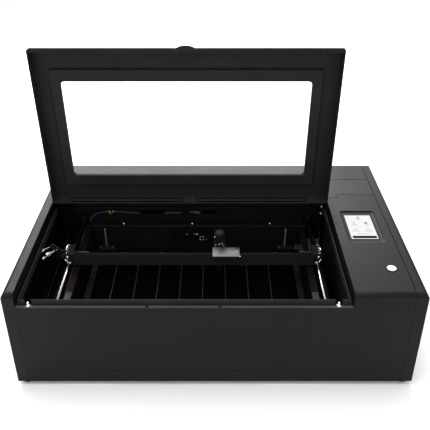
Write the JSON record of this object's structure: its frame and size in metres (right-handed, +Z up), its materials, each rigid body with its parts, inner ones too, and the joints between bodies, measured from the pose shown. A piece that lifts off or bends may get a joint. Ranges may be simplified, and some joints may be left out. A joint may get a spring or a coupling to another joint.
{
  "type": "desktop laser cutter",
  "caption": "Desktop laser cutter: black folded-steel case, hinged clear-window lid, belt-driven gantry and head over a honeycomb bed, side console and crumb drawer.",
  "frame": {"origin": "bottom centre of the whole object's box, on the surface it stands on, between the feet", "axes": "+X to the operator's right along the case, +Y from front panel to exhaust collar, +Z up"},
  "size_m": [0.93, 0.652, 0.7047],
  "materials": {
    "black_steel": "fine powder coat, matte black",
    "chamber_black": "powder coat, matte black",
    "black_aluminium": "black anodised",
    "bare_aluminium": "satin",
    "comb_aluminium": "dark, sooty",
    "bright_chrome": "polished",
    "thread_steel": "bright zinc",
    "motor_steel": "satin black with bright end plates",
    "belt_rubber": "matte",
    "black_rubber": "matte",
    "black_plastic": "matte",
    "white_plastic": "satin",
    "screen_glass": "lit display behind glass",
    "clear_acrylic": "clear sheet",
    "tube_glass": "borosilicate glass",
    "tank_plastic": "translucent white",
    "hose_silicone": "pale silicone",
    "board_green": "solder mask"
  },
  "bodies": {
    "root": {"front_panel": "black_steel", "left_end_cap": "black_steel", "right_end_cap": "black_steel", "console_cover": "black_steel", "rear_deck": "black_steel", "rear_tube_cover": "black_steel", "rear_panel": "black_steel", "base_pan": "black_steel", "rubber_feet": "black_rubber", "opening_gutter": "black_steel", "lid_bumpers": "black_rubber", "lid_studs": "bright_chrome", "display_bezel": "black_plastic", "display_glass": "screen_glass", "button_collar": "bright_chrome", "y_rail_beams": "black_aluminium", "y_rods": "bright_chrome", "y_rod_supports": "black_aluminium", "y_belts": "belt_rubber", "y_motor": "motor_steel", "bed_rods": "thread_steel", "chamber_back_wall": "chamber_black", "console_divider": "chamber_black", "cabinet_screws": "bright_chrome", "laser_tube": "tube_glass", "tube_clamps": "black_plastic", "rear_mirror_mount": "black_aluminium", "exhaust_fan_frame": "black_plastic", "exhaust_duct": "black_plastic", "high_voltage_supply": "bare_aluminium", "controller_board": "board_green", "water_tank": "tank_plastic", "power_inlet": "black_plastic", "coolant_hose": "hose_silicone", "hinge_brackets": "thread_steel"},
    "lid": {"lid_shell": "black_steel", "lid_window": "clear_acrylic", "window_retainer": "black_plastic", "lid_pull_tab": "black_plastic", "lid_hinge_leaves": "black_steel"},
    "gantry": {"x_beam": "black_aluminium", "x_rail": "thread_steel", "gantry_end_brackets": "black_aluminium", "gantry_mirror_mount": "black_aluminium", "x_motor": "motor_steel", "x_belt": "belt_rubber"},
    "head": {"carriage_plate": "bare_aluminium", "carriage_block": "black_aluminium", "head_mirror_mount": "black_aluminium"},
    "lens": {"lens_tube": "bare_aluminium"},
    "x_pulley": {"x_drive_pulley": "bare_aluminium"},
    "x_idler": {"x_idler_pulley": "bare_aluminium"},
    "y_shaft": {"y_drive_shaft": "thread_steel"},
    "y_idlers": {"y_idler_pulleys": "bare_aluminium"},
    "tray": {"crumb_tray": "black_steel"},
    "button": {"power_button": "white_plastic"},
    "rocker": {"mains_switch": "black_plastic"},
    "fan": {"exhaust_rotor": "black_plastic"},
    "bed": {"honeycomb_panel": "comb_aluminium", "bed_frame": "black_aluminium"}
  },
  "joints": [
    {"name": "lid_hinge", "type": "hinge", "parent": "root", "child": "lid", "pos_m": [0, 0.101, 0.2658], "axis": [1, 0, 0], "range_deg": [0, 86]},
    {"name": "gantry_slide", "type": "slide", "parent": "root", "child": "gantry", "axis": [0, 1, 0], "range_m": [-0.183, 0.117]},
    {"name": "head_slide", "type": "slide", "parent": "gantry", "child": "head", "axis": [1, 0, 0], "range_m": [-0.334, 0.17]},
    {"name": "lens_focus", "type": "slide", "parent": "head", "child": "lens", "axis": [0, 0, 1], "range_m": [-0.004, 0.015]},
    {"name": "x_pulley_turn", "type": "hinge", "parent": "gantry", "child": "x_pulley", "pos_m": [0.2174, -0.0722, 0.1865], "axis": [0, 1, 0], "range_deg": [-2995, 1525]},
    {"name": "x_idler_turn", "type": "hinge", "parent": "gantry", "child": "x_idler", "pos_m": [-0.34, -0.0722, 0.1865], "axis": [0, 1, 0], "range_deg": [-2995, 1525]},
    {"name": "y_shaft_turn", "type": "hinge", "parent": "root", "child": "y_shaft", "pos_m": [0, 0.129, 0.16], "axis": [1, 0, 0], "range_deg": [-1050, 1640]},
    {"name": "y_idler_turn", "type": "hinge", "parent": "root", "child": "y_idlers", "pos_m": [0, -0.296, 0.16], "axis": [1, 0, 0], "range_deg": [-1050, 1640]},
    {"name": "tray_slide", "type": "slide", "parent": "root", "child": "tray", "axis": [0, -1, 0], "range_m": [0, 0.3]},
    {"name": "power_press", "type": "slide", "parent": "root", "child": "button", "axis": [0, 0, -1], "range_m": [0, 0.0025], "stiffness_N_per_m": 400, "springref_m": -0.002},
    {"name": "mains_rock", "type": "hinge", "parent": "root", "child": "rocker", "pos_m": [0.36, 0.302, 0.055], "axis": [1, 0, 0], "range_deg": [0, 12]},
    {"name": "fan_spin", "type": "hinge", "parent": "root", "child": "fan", "pos_m": [-0.065, 0.169, 0.078], "axis": [0, 1, 0], "continuous": true},
    {"name": "bed_lift", "type": "slide", "parent": "root", "child": "bed", "axis": [0, 0, 1], "range_m": [-0.026, 0.004]}
  ],
  "couplings": [
    {"joint": "x_pulley_turn", "follows": "head_slide", "rad_per_m": 156.25},
    {"joint": "x_idler_turn", "follows": "head_slide", "rad_per_m": 156.25},
    {"joint": "y_shaft_turn", "follows": "gantry_slide", "rad_per_m": -156.25},
    {"joint": "y_idler_turn", "follows": "gantry_slide", "rad_per_m": -156.25}
  ]
}
